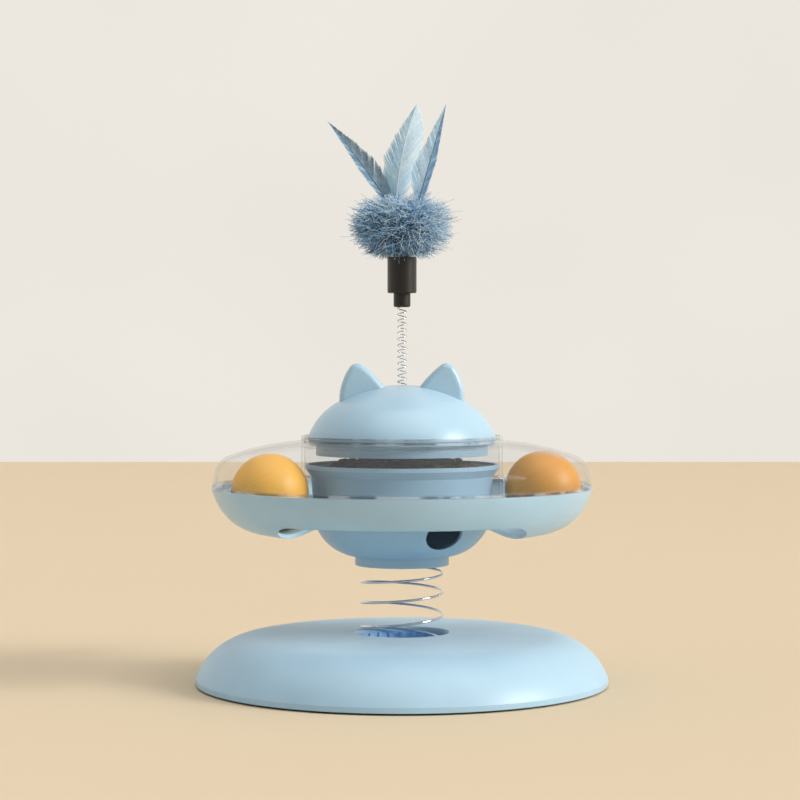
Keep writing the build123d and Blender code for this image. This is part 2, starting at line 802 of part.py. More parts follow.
# Plug over the top of the thin spring, with a spigot that holds the cap
wand_top = (wand_line.wire() @ 1).Z
plug_bore_depth = plug_height / 2
plug_bottom = wand_top - plug_bore_depth
plug_top = plug_bottom + plug_height
with BuildPart() as wand_plug:
    ring(0, plug_radius, plug_bottom, plug_top)
    ring(0, plug_spigot_radius, plug_top, plug_top + plug_spigot_height)
    fillet(wand_plug.edges().group_by(Axis.Z)[0], plug_edge_round)
    ring(0, bore, plug_bottom - overrun, wand_top, Mode.SUBTRACT)
save(wand_plug, "wand_plug")

cap_bottom = plug_top
cap_top = cap_bottom + cap_height
with BuildPart() as teaser_cap:
    ring(0, cap_radius, cap_bottom, cap_top)
    fillet(teaser_cap.edges().group_by(Axis.Z)[0], cap_edge_round)
    ring(0, cap_radius - cap_wall, cap_bottom + cap_floor, cap_top + overrun, Mode.SUBTRACT)
    ring(0, plug_spigot_radius + slip_gap, cap_bottom - overrun, cap_bottom + cap_floor, Mode.SUBTRACT)
save(teaser_cap, "teaser_cap")

# Ball of strands: a stem in the cap, a full round body and a funnel where the quills pass
pom_foot = cap_bottom + cap_floor + slip_gap
pom_bottom = cap_top + fit_gap
pom_middle = pom_bottom + pom_height * pom_belly_share
pom_top = pom_bottom + pom_height
with BuildPart() as fluff_pom:
    with BuildSketch(Plane.XZ):
        with BuildLine():
            under = TangentArc(
                (pom_radius, pom_middle), (cap_radius, pom_bottom), tangent=(0, -1)
            )
            over = TangentArc((pom_radius, pom_middle), (pom_top_radius, pom_top), tangent=(0, 1))
            Polyline(
                over @ 1, (pom_bore_radius, pom_bottom), (pom_bore_radius, pom_foot),
                (pom_core_radius, pom_foot), (pom_core_radius, pom_bottom), under @ 1,
            )
        make_face()
    revolve(axis=Axis.Z)
save(fluff_pom, "fluff_pom")

# Feathers: name, then as shares of the feathers' height the quill's foot, the vane's foot and
# the tip (across and above the cap's top), then as shares of the width the depth from front to
# back and how far the left and right edges of the vane stand from the quill
feather_shares = (
    ("feather_left", (-0.035, -0.1), (-0.087, 0.42), (-0.487, 0.885), 0.0, 0.52, 0.5),
    ("feather_middle", (0.0, -0.1), (-0.037, 0.42), (0.107, 1.012), 0.33, 0.94, 0.92),
    ("feather_right", (0.011, -0.1), (0.113, 0.42), (0.293, 0.999), -0.16, 0.56, 0.52),
)
for name, foot, neck, tip, depth_share, left_share, right_share in feather_shares:
    foot_point, neck_point, tip_point = [
        Vector(0, cap_top) + Vector(x, z) * feather_height for x, z in (foot, neck, tip)
    ]
    depth = feather_width * depth_share
    along = (tip_point - neck_point).normalized()
    across = Vector(-along.Y, along.X) * feather_width
    swell = neck_point + (tip_point - neck_point) * vane_swell_share
    quill_end = neck_point + (tip_point - neck_point) * quill_length_share
    with BuildPart() as feather:
        with BuildSketch(Plane.XZ.offset(-depth)):
            with BuildLine():
                ThreePointArc(neck_point, swell + across * left_share, tip_point)
                ThreePointArc(tip_point, swell - across * right_share, neck_point)
            make_face()
        extrude(amount=feather_sheet / 2, both=True)
        with BuildLine() as quill_line:
            Polyline(*[(p.X, depth, p.Y) for p in (foot_point, neck_point, quill_end)])
        with BuildSketch(Plane(origin=quill_line.line @ 0, z_dir=quill_line.line % 0)):
            RegularPolygon(quill_radius, wire_sides)
        sweep(transition=Transition.RIGHT)
    save(feather, name)
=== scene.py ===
import math
import random

import bmesh
import bpy
from mathutils import Matrix, Vector, noise


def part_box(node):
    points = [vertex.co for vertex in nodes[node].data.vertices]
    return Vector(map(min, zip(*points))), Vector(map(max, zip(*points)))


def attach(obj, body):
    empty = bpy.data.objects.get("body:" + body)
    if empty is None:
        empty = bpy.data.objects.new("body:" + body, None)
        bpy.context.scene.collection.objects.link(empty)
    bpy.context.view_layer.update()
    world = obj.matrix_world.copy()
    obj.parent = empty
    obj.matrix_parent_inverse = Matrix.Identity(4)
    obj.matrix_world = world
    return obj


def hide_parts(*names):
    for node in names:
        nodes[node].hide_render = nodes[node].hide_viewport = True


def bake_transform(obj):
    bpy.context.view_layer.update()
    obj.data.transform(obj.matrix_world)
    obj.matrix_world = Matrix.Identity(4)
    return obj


# Looks for the cat teaser toy. Metres, +Z up, the front looks along -Y, as in the frame.
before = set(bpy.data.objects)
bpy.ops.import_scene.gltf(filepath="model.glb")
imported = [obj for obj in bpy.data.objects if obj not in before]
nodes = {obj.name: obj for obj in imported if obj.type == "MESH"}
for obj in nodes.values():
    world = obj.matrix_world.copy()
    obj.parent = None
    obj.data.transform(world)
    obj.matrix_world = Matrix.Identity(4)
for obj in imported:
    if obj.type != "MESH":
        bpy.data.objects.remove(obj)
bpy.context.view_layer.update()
MM = 0.001

# Sizes that the wound and soft pieces share with the solids, in millimetres and degrees. The rises
# are those of each turn from the foot up, and a wire is cut into pieces at the cut heights.
SPRING_RADIUS, SPRING_WIRE, SPRING_FLOOR, SPRING_START = 20.4, 1.2, 11.0, -135
SPRING_RISES = (1.9, 14.2, 12.0, 10.0, 8.4, 1.9)
SPRING_CUTS = (12, 30, 45, 60)
WAND_RADIUS, WAND_WIRE, WAND_FLOOR, WAND_START = 2.2, 0.6, 144.0, 0
WAND_RISES = [1.1] + [3.05] * 14 + [1.1]
WAND_CUTS = (149, 170, 189)
CAP_TOP, POM_GAP = 213.4, 0.3
POM_RADIUS, POM_HEIGHT = 26.0, 33.0
POM_MIDDLE = CAP_TOP + POM_GAP + POM_HEIGHT / 2
POM_RISE, POM_DROP = POM_HEIGHT / 2 - 2.5, POM_HEIGHT / 2 + 1.6
# The clear cover's edges, as (radius, height), and how far from them a dash of painted
# reflection is full and gone
COVER_EDGES = ((95.0, 98.8), (53.0, 121.4), (50.5, 121.4), (49.7, 124.2), (48.9, 119.4))
DASH_FULL, DASH_GONE = 0.4, 1.8


# Materials

def material(name):
    mat = bpy.data.materials.new(name)
    mat.use_nodes = True
    tree = mat.node_tree
    return mat, tree, tree.nodes["Principled BSDF"]


def noise_node(tree, scale, detail=4.0, rough=0.5, stretch=(1, 1, 1)):
    coords = tree.nodes.new("ShaderNodeTexCoord")
    mapping = tree.nodes.new("ShaderNodeMapping")
    mapping.inputs["Scale"].default_value = stretch
    texture = tree.nodes.new("ShaderNodeTexNoise")
    texture.inputs["Scale"].default_value = scale
    texture.inputs["Detail"].default_value = detail
    texture.inputs["Roughness"].default_value = rough
    tree.links.new(coords.outputs["Object"], mapping.inputs["Vector"])
    tree.links.new(mapping.outputs["Vector"], texture.inputs["Vector"])
    return texture.outputs["Fac"]


def ramp(tree, factor, stops):
    node = tree.nodes.new("ShaderNodeValToRGB")
    elements = node.color_ramp.elements
    while len(elements) < len(stops):
        elements.new(0.5)
    for element, (place, colour) in zip(elements, stops):
        element.position = place
        element.color = (*colour, 1)
    tree.links.new(factor, node.inputs["Fac"])
    return node.outputs["Color"]


def spread(tree, factor, low, high, start=0.0, end=1.0):
    # Turns the range from start to end of a factor into the range from low to high.
    node = tree.nodes.new("ShaderNodeMapRange")
    node.inputs["From Min"].default_value = start
    node.inputs["From Max"].default_value = end
    node.inputs["To Min"].default_value = low
    node.inputs["To Max"].default_value = high
    tree.links.new(factor, node.inputs["Value"])
    return node.outputs["Result"]


def combine(tree, operation, first, second=None):
    # A math node on one or two sockets.
    node = tree.nodes.new("ShaderNodeMath")
    node.operation = operation
    tree.links.new(first, node.inputs[0])
    if second is not None:
        tree.links.new(second, node.inputs[1])
    return node.outputs["Value"]


def measure(tree, operation, source, constant=(0, 0, 0)):
    # A vector math node on a socket and a constant.
    node = tree.nodes.new("ShaderNodeVectorMath")
    node.operation = operation
    node.inputs[1].default_value = constant
    tree.links.new(source, node.inputs[0])
    return node.outputs["Vector" if operation == "MULTIPLY" else "Value"]


def mixed(tree, factor, first, second):
    # Mixes two colours, each a socket or a plain colour.
    node = tree.nodes.new("ShaderNodeMix")
    node.data_type = "RGBA"
    tree.links.new(factor, node.inputs["Factor"])
    for key, colour in (("A", first), ("B", second)):
        if isinstance(colour, tuple):
            node.inputs[key].default_value = (*colour, 1)
        else:
            tree.links.new(colour, node.inputs[key])
    return node.outputs["Result"]


def bump(tree, shader, height, strength, distance, edge=0.0):
    node = tree.nodes.new("ShaderNodeBump")
    node.inputs["Strength"].default_value = strength
    node.inputs["Distance"].default_value = distance
    tree.links.new(height, node.inputs["Height"])
    if edge > 0:
        bevel = tree.nodes.new("ShaderNodeBevel")
        bevel.samples = 4
        bevel.inputs["Radius"].default_value = edge
        tree.links.new(bevel.outputs["Normal"], node.inputs["Normal"])
    tree.links.new(node.outputs["Normal"], shader.inputs["Normal"])


def shade(colour, factor):
    return tuple(min(1.0, c * factor) for c in colour)


def tint(tree, shader, factor, stops):
    tree.links.new(ramp(tree, factor, stops), shader.inputs["Base Color"])


def plastic(name, colour, low_rough, high_rough, coat=0.15, edge=0.0004, grain=2600):
    # Moulded plastic: faint cloudy tone, uneven gloss, a fine grain and softened edges.
    mat, tree, shader = material(name)
    cloud = noise_node(tree, scale=38, detail=3)
    tint(tree, shader, cloud, [(0.3, shade(colour, 0.965)), (0.7, shade(colour, 1.025))])
    scuffs = noise_node(tree, scale=160, detail=6, rough=0.65, stretch=(1, 1, 0.35))
    tree.links.new(spread(tree, scuffs, low_rough, high_rough), shader.inputs["Roughness"])
    shader.inputs["Coat Weight"].default_value = coat
    shader.inputs["Coat Roughness"].default_value = 0.28
    shader.inputs["IOR"].default_value = 1.5
    grains = noise_node(tree, scale=grain, detail=2)
    bump(tree, shader, grains, strength=0.12, distance=0.00004, edge=edge)
    return mat


def metal(name, colour, low_rough, high_rough, stretch=(1, 1, 1)):
    # Drawn or turned steel: fine streaks in tone and gloss.
    mat, tree, shader = material(name)
    streaks = noise_node(tree, scale=900, detail=5, rough=0.6, stretch=stretch)
    tint(tree, shader, streaks, [(0.25, shade(colour, 0.8)), (0.75, shade(colour, 1.1))])
    tree.links.new(spread(tree, streaks, low_rough, high_rough), shader.inputs["Roughness"])
    shader.inputs["Metallic"].default_value = 1.0
    bump(tree, shader, streaks, strength=0.2, distance=0.00002)
    return mat


def edge_nearness(tree, rings):
    # 1 on the rings, (radius, height) in mm about the axis of the toy, and 0 away from them.
    coords = tree.nodes.new("ShaderNodeTexCoord").outputs["Object"]
    parts = tree.nodes.new("ShaderNodeSeparateXYZ")
    place = tree.nodes.new("ShaderNodeCombineXYZ")
    level = measure(tree, "MULTIPLY", coords, (1, 1, 0))
    tree.links.new(coords, parts.inputs["Vector"])
    tree.links.new(measure(tree, "LENGTH", level), place.inputs["X"])
    tree.links.new(parts.outputs["Z"], place.inputs["Z"])
    nearest = None
    for across, height in rings:
        ring = (across * MM, 0, height * MM)
        away = measure(tree, "DISTANCE", place.outputs["Vector"], ring)
        nearest = away if nearest is None else combine(tree, "MINIMUM", nearest, away)
    return spread(tree, nearest, 0.0, 1.0, start=DASH_GONE * MM, end=DASH_FULL * MM)


def clear_plastic(name, rings):
    # Clear polished plastic: a thin grey veil, stronger where it turns away as a painted
    # reflection, and dark and bright dashes along its edges, which are painted reflections.
    mat, tree, shader = material(name)
    edge = edge_nearness(tree, rings)
    reflection_dashes = noise_node(tree, scale=55, detail=3, rough=0.6, stretch=(1, 1, 0.2))
    strong = combine(tree, "MULTIPLY", edge, spread(tree, reflection_dashes, 0.1, 1.3))
    turned = tree.nodes.new("ShaderNodeLayerWeight").outputs["Facing"]
    # Painted reflection: the grey veil thickens where the surface turns away from the view.
    rim = spread(tree, turned, 0.05, 0.5, start=0.8)
    veil = combine(tree, "MAXIMUM", rim, spread(tree, strong, 0.0, 0.8))
    tree.links.new(veil, shader.inputs["Alpha"])
    # Painted reflections: dark and bright dashes along the cover's edges.
    painted_reflection_tone = ramp(tree, reflection_dashes, [(0.42, (0.62, 0.66, 0.68)), (0.55, (0.05, 0.06, 0.08))])
    tone = mixed(tree, edge, (0.34, 0.36, 0.37), painted_reflection_tone)
    tree.links.new(tone, shader.inputs["Base Color"])
    rubs = noise_node(tree, scale=70, detail=5, rough=0.6, stretch=(1, 1, 0.4))
    tree.links.new(spread(tree, rubs, 0.02, 0.09), shader.inputs["Roughness"])
    shader.inputs["IOR"].default_value = 1.49
    bump(tree, shader, noise_node(tree, scale=45, detail=2), strength=0.05, distance=0.0003)
    return mat


def fibre(name, dark, light, scale, rough=0.62, sheen=0.2):
    # Barbs, filaments and crumbs: streaks of tone from dark to light.
    mat, tree, shader = material(name)
    middle = tuple((a + b) / 2 for a, b in zip(dark, light))
    streaks = noise_node(tree, scale, detail=4, rough=0.6)
    tint(tree, shader, streaks, [(0.28, dark), (0.5, middle), (0.74, light)])
    shader.inputs["Roughness"].default_value = rough
    shader.inputs["Sheen Weight"].default_value = sheen
    shader.inputs["Sheen Roughness"].default_value = 0.4
    return mat


def ball_plastic(name, centre, colour):
    # Soft orange plastic with a fine moulding seam round the middle of the ball.
    mat, tree, shader = material(name)
    cloud = noise_node(tree, scale=60, detail=3)
    tint(tree, shader, cloud, [(0.3, shade(colour, 0.94)), (0.7, shade(colour, 1.05))])
    shader.inputs["Roughness"].default_value = 0.5
    shader.inputs["Coat Weight"].default_value = 0.08
    shader.inputs["Coat Roughness"].default_value = 0.4
    shader.inputs["Subsurface Weight"].default_value = 0.12
    shader.inputs["Subsurface Radius"].default_value = (0.006, 0.003, 0.001)
    coords = tree.nodes.new("ShaderNodeTexCoord")
    mapping = tree.nodes.new("ShaderNodeMapping")
    mapping.inputs["Location"].default_value = tuple(-c for c in centre)
    turn = tree.nodes.new("ShaderNodeVectorRotate")
    turn.rotation_type = "EULER_XYZ"
    turn.inputs["Rotation"].default_value = (0.5, 0.35, 0)
    parts = tree.nodes.new("ShaderNodeSeparateXYZ")
    tree.links.new(coords.outputs["Object"], mapping.inputs["Vector"])
    tree.links.new(mapping.outputs["Vector"], turn.inputs["Vector"])
    tree.links.new(turn.outputs["Vector"], parts.inputs["Vector"])
    away = combine(tree, "ABSOLUTE", parts.outputs["Z"])
    seam = spread(tree, away, 0.0, 1.0, end=0.0005)
    bump(tree, shader, seam, strength=0.5, distance=0.00015)
    return mat


blue = plastic("powder_blue_plastic", (0.40, 0.58, 0.70), 0.28, 0.40, coat=0.2)
base_blue = plastic("base_blue_plastic", (0.395, 0.575, 0.70), 0.40, 0.48, coat=0.12)
# A lighter copy of the deep blue for the well of the spring socket, which lies in shade: painted
# light.
lit_socket_blue = plastic("socket_blue_painted_light_plastic", (0.34, 0.60, 0.92), 0.35, 0.5)
# A darker copy of the powder blue for the bowl, lid skirt and spring collar, which lie under the
# lid, the tray and the clear cover: painted shade.
shaded_bowl_blue = plastic("bowl_blue_painted_shade_plastic", (0.33, 0.52, 0.68), 0.36, 0.48, coat=0.1)
deep_blue = plastic("deep_blue_plastic", (0.25, 0.47, 0.72), 0.35, 0.5)
cap_black = plastic(
    "brown_black_plastic", (0.012, 0.010, 0.008), 0.32, 0.45, coat=0.1, edge=0.0002
)
rubber = plastic(
    "pad_rubber", (0.55, 0.60, 0.64), 0.75, 0.9, coat=0.0, edge=0.0003, grain=1200
)
steel = metal("plain_steel", (0.55, 0.56, 0.58), 0.3, 0.45)
wire = metal("spring_wire", (0.72, 0.73, 0.75), 0.08, 0.18, stretch=(1, 1, 0.3))
clear = clear_plastic("clear_cover_plastic", COVER_EDGES)
left_centre, right_centre = [
    (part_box(name)[0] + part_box(name)[1]) / 2 for name in ("ball_left", "ball_right")
]
left_orange = ball_plastic("left_ball_plastic", left_centre, (0.84, 0.44, 0.06))
# The right ball takes a darker, browner copy of the same orange: painted shade.
shaded_right_orange = ball_plastic("right_ball_painted_shade_plastic", right_centre, (0.68, 0.29, 0.02))
finishes = {
    "base_shell": base_blue, "base_plate": deep_blue, "base_pads": rubber,
    "base_weight": steel, "base_screws": steel,
    "spring_socket": lit_socket_blue, "socket_screws": steel,
    "spring_clips": steel, "spring_collar": shaded_bowl_blue, "collar_screws": steel,
    "treat_bowl": shaded_bowl_blue, "ball_tray": blue, "tray_screws": steel,
    "ball_left": left_orange, "ball_right": shaded_right_orange,
    "clear_cover": clear, "dome_lid": blue, "lid_skirt": shaded_bowl_blue,
    "wand_anchor": deep_blue, "anchor_screws": steel,
    "wand_plug": cap_black, "teaser_cap": cap_black,
}
for name, finish in finishes.items():
    node = nodes[name]
    if not node.data.materials:
        node.data.materials.append(finish)
    for slot in node.material_slots:
        slot.material = finish

# Light falls through the clear cover
nodes["clear_cover"].visible_shadow = False


# Mesh helpers

def mesh_object(name, points, faces, finishes, tones=None, smooth=True):
    # One finish, or a list of them and the number of the one that each face takes.
    mesh = bpy.data.meshes.new(name)
    mesh.from_pydata(points, [], faces)
    mesh.polygons.foreach_set("use_smooth", [smooth] * len(faces))
    for finish in finishes if tones else [finishes]:
        mesh.materials.append(finish)
    if tones:
        mesh.polygons.foreach_set("material_index", tones)
    mesh.update()
    obj = bpy.data.objects.new(name, mesh)
    bpy.context.scene.collection.objects.link(obj)
    return obj


def frames_along(line):
    # A direction and two sides for each point of a line, with no sudden twist.
    ways = []
    for i in range(len(line)):
        ways.append((line[min(i + 1, len(line) - 1)] - line[max(i - 1, 0)]).normalized())
    side = ways[0].orthogonal().normalized()
    result = []
    for way in ways:
        side = (side - way * side.dot(way)).normalized()
        result.append((way, side, way.cross(side)))
    return result


def add_tube(points, faces, line, radii, sides, closed_ends=True):
    # Adds a tube round a line of points to the lists of points and faces.
    start = len(points)
    for place, radius, (way, side, other) in zip(line, radii, frames_along(line)):
        for k in range(sides):
            turn = 2 * math.pi * k / sides
            points.append(place + (side * math.cos(turn) + other * math.sin(turn)) * radius)
    for i in range(len(line) - 1):
        for k in range(sides):
            a, b = start + i * sides + k, start + i * sides + (k + 1) % sides
            faces.append((a, b, b + sides, a + sides))
    if closed_ends:
        faces.append(tuple(start + k for k in reversed(range(sides))))
        last = start + (len(line) - 1) * sides
        faces.append(tuple(last + k for k in range(sides)))


# Springs: smooth wire on the line of the solids, in pieces cut between neighbouring bodies

# The bend into a tail has a radius of TAIL_BEND wires
TAIL_STEPS, TAIL_BEND = 6, 1.5


def coil_levels(base, rises, steps):
    # The height of each point of the turns, softened where one rise follows another.
    levels = []
    for i in range(len(rises) * steps + 1):
        t = i / steps
        whole = min(int(t), len(rises) - 1)
        level = sum(rises[:whole]) + rises[whole] * (t - whole)
        levels.append(base + level)
    width = steps // 4
    soft = []
    for i in range(len(levels)):
        reach = min(i, len(levels) - 1 - i, width)
        near = levels[i - reach: i + reach + 1]
        soft.append(sum(near) / len(near))
    return soft


def coil_line(radius, wire_size, floor, rises, start_angle, steps):
    # Points of the whole right-handed wire in metres: tail, turns with their rises, tail.
    bend = wire_size * TAIL_BEND
    line = []
    for i, level in enumerate(coil_levels(floor + wire_size + bend, rises, steps)):
        turn = math.radians(start_angle) + 2 * math.pi * i / steps
        line.append(Vector((radius * math.cos(turn), radius * math.sin(turn), level)))
    for end, before, sign in ((0, 1, -1), (-1, -2, 1)):
        place = line[end]
        way = (line[end] - line[before]).normalized()
        way = Vector((way.x, way.y, 0)).normalized()
        tail = []
        for k in range(1, TAIL_STEPS + 1):
            turn = math.pi / 2 * k / TAIL_STEPS
            rise = Vector((0, 0, sign * bend * (1 - math.cos(turn))))
            tail.append(place + way * bend * math.sin(turn) + rise)
        tail.append(tail[-1] + Vector((0, 0, sign * wire_size)))
        line = list(reversed(tail)) + line if end == 0 else line + tail
    return [p * MM for p in line]


def spring_pieces(name, line, wire_size, sides, cuts, bodies, node):
    # Cuts the wire at heights in mm into one piece for each two neighbouring bodies.
    bounds = [0]
    for cut in cuts[1:-1]:
        bounds.append(next(i for i, p in enumerate(line) if p.z >= cut * MM))
    bounds.append(len(line) - 1)
    for i in range(len(bodies) - 1):
        part = line[bounds[i]: bounds[i + 1] + 1]
        points, faces = [], []
        add_tube(points, faces, part, [wire_size / 2 * MM] * len(part), sides)
        piece = mesh_object(f"{name}_{i + 1}", points, faces, wire)
        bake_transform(piece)
        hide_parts(node)


spring_line = coil_line(
    SPRING_RADIUS, SPRING_WIRE, SPRING_FLOOR, SPRING_RISES, SPRING_START, steps=72
)
spring_pieces(
    "big_spring", spring_line, SPRING_WIRE, 14, SPRING_CUTS,
    ("base", "spring", "clips", "saucer"), "main_spring",
)
wand_line = coil_line(WAND_RADIUS, WAND_WIRE, WAND_FLOOR, WAND_RISES, WAND_START, steps=36)
spring_pieces(
    "thin_spring", wand_line, WAND_WIRE, 8, WAND_CUTS, ("lid", "wand", "teaser"), "wand_spring"
)


# Pom: a soft dark core, painted shade, and thousands of crinkled filaments in four tones of
# blue, which carry painted light and shade

# Powers of the rounded outline; steps and sides of a strand, and its taper from root to tip
POWER_ABOVE, POWER_BELOW = 2.8, 2.6
STRAND_STEPS, STRAND_SIDES, STRAND_TAPER = 7, 3, 0.5
# Roots in the middle: how far they spread out and up, and how far they lie below it, in mm
ROOT_OUT, ROOT_UP, ROOT_DROP = 4, 6, 4
# Bow in mm, and number and phase of the waves along a strand
BOWS, WAVES, PHASES = (0.6, 2.0), (1.6, 3.2), (0, 3)
# The number of a strand's tone: its middle, its painted-light rise to the right and upwards,
# and its scatter. The first steps of each strand are one tone darker, painted shade inside the
# pom.
TONE_MIDDLE, PAINTED_LIGHT_RIGHT, PAINTED_LIGHT_UP, TONE_SCATTER, PAINTED_SHADE_STEPS = 1.6, 0.6, 0.5, 1.15, 3
# The core's share of the outline, and the depth and scale of its lumps
CORE_SHARE, CORE_LUMPS = 0.56, ((0.09, 5), (0.05, 19))


def pom_point(way, reach):
    # A point of the ball's outline in mm: a little flattened above, fuller below.
    power = POWER_ABOVE if way.z > 0 else POWER_BELOW
    flat = math.hypot(way.x, way.y)
    size = (flat**power + abs(way.z) ** power) ** (-1 / power) * reach
    rise = POM_RISE if way.z > 0 else POM_DROP
    height = POM_MIDDLE + way.z * size * rise
    return Vector((way.x * size * POM_RADIUS, way.y * size * POM_RADIUS, height))


def any_way(rng, lifts=(-1, 1)):
    lift, turn = rng.uniform(*lifts), rng.uniform(0, 2 * math.pi)
    flat = math.sqrt(1 - lift * lift)
    return Vector((flat * math.cos(turn), flat * math.sin(turn), lift))


def pom_strands(
    name, count, seed, reaches, thick, kinks, tone_shift, start=None, lean=0.0, lifts=(-1, 1)
):
    # Strands run from the middle, or from the share start of the outline, to the reaches; they
    # bow and kink by kinks, and lean off the straight way out.
    rng = random.Random(seed)
    points, faces, tones = [], [], []
    shares = [k / STRAND_STEPS for k in range(STRAND_STEPS + 1)]
    radii = [
        thick * MM * (1 - STRAND_TAPER * k / STRAND_STEPS) for k in range(STRAND_STEPS + 1)
    ]
    for _ in range(count):
        way = any_way(rng, lifts)
        tip = pom_point((way + any_way(rng) * lean).normalized(), rng.uniform(*reaches))
        height = POM_MIDDLE - ROOT_DROP + way.z * ROOT_UP
        middle = Vector((way.x * ROOT_OUT, way.y * ROOT_OUT, height))
        root = pom_point(way, start) if start else middle
        side = way.cross(any_way(rng)) * rng.uniform(*BOWS)
        other = way.cross(any_way(rng)) * rng.uniform(*kinks)
        waves, phase = rng.uniform(*WAVES), rng.uniform(*PHASES)
        line = []
        for t in shares:
            wave = math.sin(2 * math.pi * waves * t + phase) - math.sin(phase) * (1 - t)
            bow = side * math.sin(math.pi * t)
            line.append((root.lerp(tip, t) + bow + other * wave * t) * MM)
        add_tube(points, faces, line, radii, STRAND_SIDES, closed_ends=False)
        # Painted light and shade: lighter tones to the right and upwards, the first steps one tone
        # darker.
        likely = TONE_MIDDLE + tone_shift + PAINTED_LIGHT_RIGHT * way.x + PAINTED_LIGHT_UP * way.z
        tone = min(len(filaments) - 1, max(0, int(rng.gauss(likely, TONE_SCATTER))))
        for k in range(STRAND_STEPS):
            tones += [max(0, tone - (k < PAINTED_SHADE_STEPS))] * STRAND_SIDES
    piece = mesh_object(name, points, faces, filaments, tones)
    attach(piece, "teaser")


def pom_core():
    mesh = bpy.data.meshes.new("pom_core")
    shape = bmesh.new()
    bmesh.ops.create_icosphere(shape, subdivisions=5, radius=1)
    for vertex in shape.verts:
        way = vertex.co.normalized()
        lumps = (depth * noise.noise(way * scale) for depth, scale in CORE_LUMPS)
        vertex.co = pom_point(way, sum(lumps, CORE_SHARE)) * MM
    shape.to_mesh(mesh)
    shape.free()
    mesh.polygons.foreach_set("use_smooth", [True] * len(mesh.polygons))
    # The core's near-black blue is painted shade deep inside the pom.
    mesh.materials.append(
        fibre("pom_core_painted_shade_fibre", (0.012, 0.035, 0.065), (0.05, 0.12, 0.20), 900, 0.9, 0.1)
    )
    core = bpy.data.objects.new("pom_core", mesh)
    bpy.context.scene.collection.objects.link(core)
    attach(core, "teaser")
    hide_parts("fluff_pom")


# Four tones from deep to light; the near-white one is a painted highlight on the strands.
filaments = [
    fibre("deep_filament", (0.025, 0.07, 0.13), (0.08, 0.18, 0.31), 500, 0.5),
    fibre("dark_filament", (0.12, 0.31, 0.56), (0.30, 0.58, 0.88), 500, 0.45),
    fibre("mid_filament", (0.38, 0.64, 0.90), (0.60, 0.85, 1.0), 500, 0.4),
    fibre("light_filament", (0.78, 0.92, 1.0), (0.95, 1.0, 1.0), 500, 0.35),
]
pom_core()
pom_strands("pom_filaments", 2600, 3, (0.66, 0.95), 0.16, (0.2, 0.8), 0.0)
pom_strands(
    "pom_skirt", 700, 6, (0.80, 1.0), 0.15, (0.2, 0.6), 0.25, start=0.3, lifts=(-1, -0.72)
)
pom_strands(
    "pom_tinsel", 1500, 4, (0.88, 1.04), 0.19, (0.4, 1.2), 1.1, start=0.6, lean=0.75
)
pom_strands("pom_spikes", 520, 5, (0.96, 1.1), 0.17, (0.1, 0.4), 0.5)
pom_strands("pom_strays", 60, 9, (1.08, 1.22), 0.12, (0.1, 0.3), 0.2)


# Feathers: a tapering quill and rows of barbs that part here and there

# Quill: steps in the pom and above it, sides, radii in mm, and the radius lost towards the tip
FOOT_STEPS, SHAFT_STEPS, SHAFT_SIDES = 6, 24, 8
FOOT_RADIUS, NECK_RADIUS, RADIUS_LOSS, LOSS_POWER = 0.62, 0.52, 0.44, 0.8
# Locks: barbs in one, scatter of its lean in radians, its length, and the tones it may have
LOCK_BARBS, LOCK_LEAN, LOCK_TRIM, LOCK_TONES = (3, 11), 0.018, (0.93, 1.03), (0, 1, 1, 2)
# Barbs, in mm: spacing, half width at the root and how much of it goes to the tip, and ripple
BARB_STEPS, BARB_SPACING, BARB_HALF_WIDTH, BARB_TAPER = 4, 0.2, 0.24, 0.7
BARB_TRIM, BARB_SWEEP, BARB_RIPPLE, RIPPLE_TURN = (0.97, 1.02), 0.05, 0.16, 2.4
# Slant off the quill in degrees at the foot, and how much less it is at the tip
BARB_SLANT, SLANT_LOSS = 38, 14
# Shares of the vane: its width at the foot, its least width, and the step that gives directions
FOOT_SHARE, LEAST_SHARE, WAY_SHARE = 0.5, 0.02, 0.02
OUTLINE_TRIES = 8
# Down: strands, their radius and sides, where they start along the vane, and their size in mm
DOWN_COUNT, DOWN_RADIUS, DOWN_SIDES = 60, 0.07, 3
DOWN_STARTS, DOWN_OUT, DOWN_RISE, DOWN_STRAY = (-0.05, 0.12), (2.0, 5.5), 3.5, 0.8


def bezier(points, t):
    a, b, c, d = points
    u = 1 - t
    return a * u**3 + b * 3 * u * u * t + c * 3 * u * t * t + d * t**3


def vane_width(along, swell, taper):
    # Share of a vane's full width from its foot (0) to the tip (1).
    if along < swell:
        return FOOT_SHARE + (1 - FOOT_SHARE) * math.sin(math.pi / 2 * along / swell)
    return 1 - ((along - swell) / (1 - swell)) ** taper


def feather_piece(name, points, faces, finish, tones=None):
    piece = mesh_object(name, points, faces, finish, tones)
    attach(piece, "teaser")
    return piece


def feather_quill(name, foot, control, finish):
    neck = control[0]
    line = [foot.lerp(neck, k / FOOT_STEPS) for k in range(FOOT_STEPS)]
    radii = [FOOT_RADIUS * MM] * FOOT_STEPS
    for k in range(SHAFT_STEPS + 1):
        line.append(bezier(control, k / SHAFT_STEPS))
        radii.append((NECK_RADIUS - RADIUS_LOSS * (k / SHAFT_STEPS) ** LOSS_POWER) * MM)
    points, faces = [], []
    add_tube(points, faces, [p * MM for p in line], radii, SHAFT_SIDES)
    quill = feather_piece(f"{name}_quill", points, faces, finish)
    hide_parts(name)


